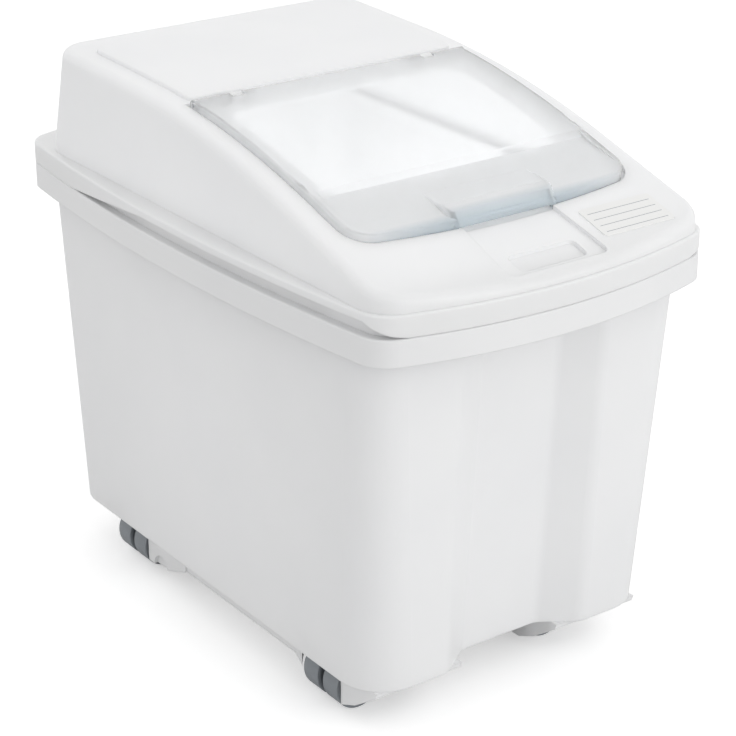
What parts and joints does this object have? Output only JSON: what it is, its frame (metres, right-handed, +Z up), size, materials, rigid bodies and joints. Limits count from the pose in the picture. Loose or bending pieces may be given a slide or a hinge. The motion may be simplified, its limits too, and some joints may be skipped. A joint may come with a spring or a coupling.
{
  "type": "ingredient bin",
  "caption": "Free-standing ingredient bin on swivel casters: deep tapered tub with a broad rim, lift-off sloping lid and a clear hinged access flap.",
  "frame": {"origin": "centre of the rim's outline on the floor under the casters", "axes": "+Z up, -Y towards the front where the flap opens, +X to the right seen from the front"},
  "size_m": [0.395, 0.6312, 0.5261],
  "materials": {
    "tub_plastic": "soft satin white",
    "lid_plastic": "soft satin white",
    "clear_plastic": "clear plastic with bluish edges",
    "plate_film": "plain write-on surface",
    "caster_plastic": "grey nylon",
    "wheel_plastic": "grey-blue nylon",
    "steel": "zinc-plated"
  },
  "bodies": {
    "bin": {"tub": "tub_plastic", "front_left_caster_plate": "steel", "front_left_plate_screws": "steel", "front_left_kingpin": "steel", "front_right_caster_plate": "steel", "front_right_plate_screws": "steel", "front_right_kingpin": "steel", "rear_left_caster_plate": "steel", "rear_left_plate_screws": "steel", "rear_left_kingpin": "steel", "rear_right_caster_plate": "steel", "rear_right_plate_screws": "steel", "rear_right_kingpin": "steel"},
    "lid": {"lid": "lid_plastic", "hinge_pin_left": "steel", "hinge_pin_right": "steel", "write_on_plate": "plate_film"},
    "flap": {"flap": "clear_plastic"},
    "front_left_swivel": {"front_left_caster_hood": "caster_plastic", "front_left_axle": "steel"},
    "front_left_wheel_fore": {"front_left_wheel_fore": "wheel_plastic"},
    "front_left_wheel_aft": {"front_left_wheel_aft": "wheel_plastic"},
    "front_right_swivel": {"front_right_caster_hood": "caster_plastic", "front_right_axle": "steel"},
    "front_right_wheel_fore": {"front_right_wheel_fore": "wheel_plastic"},
    "front_right_wheel_aft": {"front_right_wheel_aft": "wheel_plastic"},
    "rear_left_swivel": {"rear_left_caster_hood": "caster_plastic", "rear_left_axle": "steel"},
    "rear_left_wheel_fore": {"rear_left_wheel_fore": "wheel_plastic"},
    "rear_left_wheel_aft": {"rear_left_wheel_aft": "wheel_plastic"},
    "rear_right_swivel": {"rear_right_caster_hood": "caster_plastic", "rear_right_axle": "steel"},
    "rear_right_wheel_fore": {"rear_right_wheel_fore": "wheel_plastic"},
    "rear_right_wheel_aft": {"rear_right_wheel_aft": "wheel_plastic"}
  },
  "joints": [
    {"name": "lid_lift", "type": "slide", "parent": "bin", "child": "lid", "axis": [0, 0, 1], "range_m": [0, 0.12]},
    {"name": "flap_hinge", "type": "hinge", "parent": "lid", "child": "flap", "pos_m": [0, 0.025, 0.51499], "axis": [-1, 0, 0], "range_deg": [0, 120]},
    {"name": "front_left_swivel", "type": "hinge", "parent": "bin", "child": "front_left_swivel", "pos_m": [-0.109, -0.165, 0.055], "axis": [0, 0, 1], "continuous": true},
    {"name": "front_left_spin_fore", "type": "hinge", "parent": "front_left_swivel", "child": "front_left_wheel_fore", "pos_m": [-0.1265, -0.165, 0.025], "axis": [0, 1, 0], "continuous": true},
    {"name": "front_left_spin_aft", "type": "hinge", "parent": "front_left_swivel", "child": "front_left_wheel_aft", "pos_m": [-0.1265, -0.165, 0.025], "axis": [0, 1, 0], "continuous": true},
    {"name": "front_right_swivel", "type": "hinge", "parent": "bin", "child": "front_right_swivel", "pos_m": [0.109, -0.165, 0.055], "axis": [0, 0, 1], "continuous": true},
    {"name": "front_right_spin_fore", "type": "hinge", "parent": "front_right_swivel", "child": "front_right_wheel_fore", "pos_m": [0.0915, -0.165, 0.025], "axis": [0, 1, 0], "continuous": true},
    {"name": "front_right_spin_aft", "type": "hinge", "parent": "front_right_swivel", "child": "front_right_wheel_aft", "pos_m": [0.0915, -0.165, 0.025], "axis": [0, 1, 0], "continuous": true},
    {"name": "rear_left_swivel", "type": "hinge", "parent": "bin", "child": "rear_left_swivel", "pos_m": [-0.109, 0.168, 0.055], "axis": [0, 0, 1], "continuous": true},
    {"name": "rear_left_spin_fore", "type": "hinge", "parent": "rear_left_swivel", "child": "rear_left_wheel_fore", "pos_m": [-0.1265, 0.168, 0.025], "axis": [0, 1, 0], "continuous": true},
    {"name": "rear_left_spin_aft", "type": "hinge", "parent": "rear_left_swivel", "child": "rear_left_wheel_aft", "pos_m": [-0.1265, 0.168, 0.025], "axis": [0, 1, 0], "continuous": true},
    {"name": "rear_right_swivel", "type": "hinge", "parent": "bin", "child": "rear_right_swivel", "pos_m": [0.109, 0.168, 0.055], "axis": [0, 0, 1], "continuous": true},
    {"name": "rear_right_spin_fore", "type": "hinge", "parent": "rear_right_swivel", "child": "rear_right_wheel_fore", "pos_m": [0.0915, 0.168, 0.025], "axis": [0, 1, 0], "continuous": true},
    {"name": "rear_right_spin_aft", "type": "hinge", "parent": "rear_right_swivel", "child": "rear_right_wheel_aft", "pos_m": [0.0915, 0.168, 0.025], "axis": [0, 1, 0], "continuous": true}
  ]
}
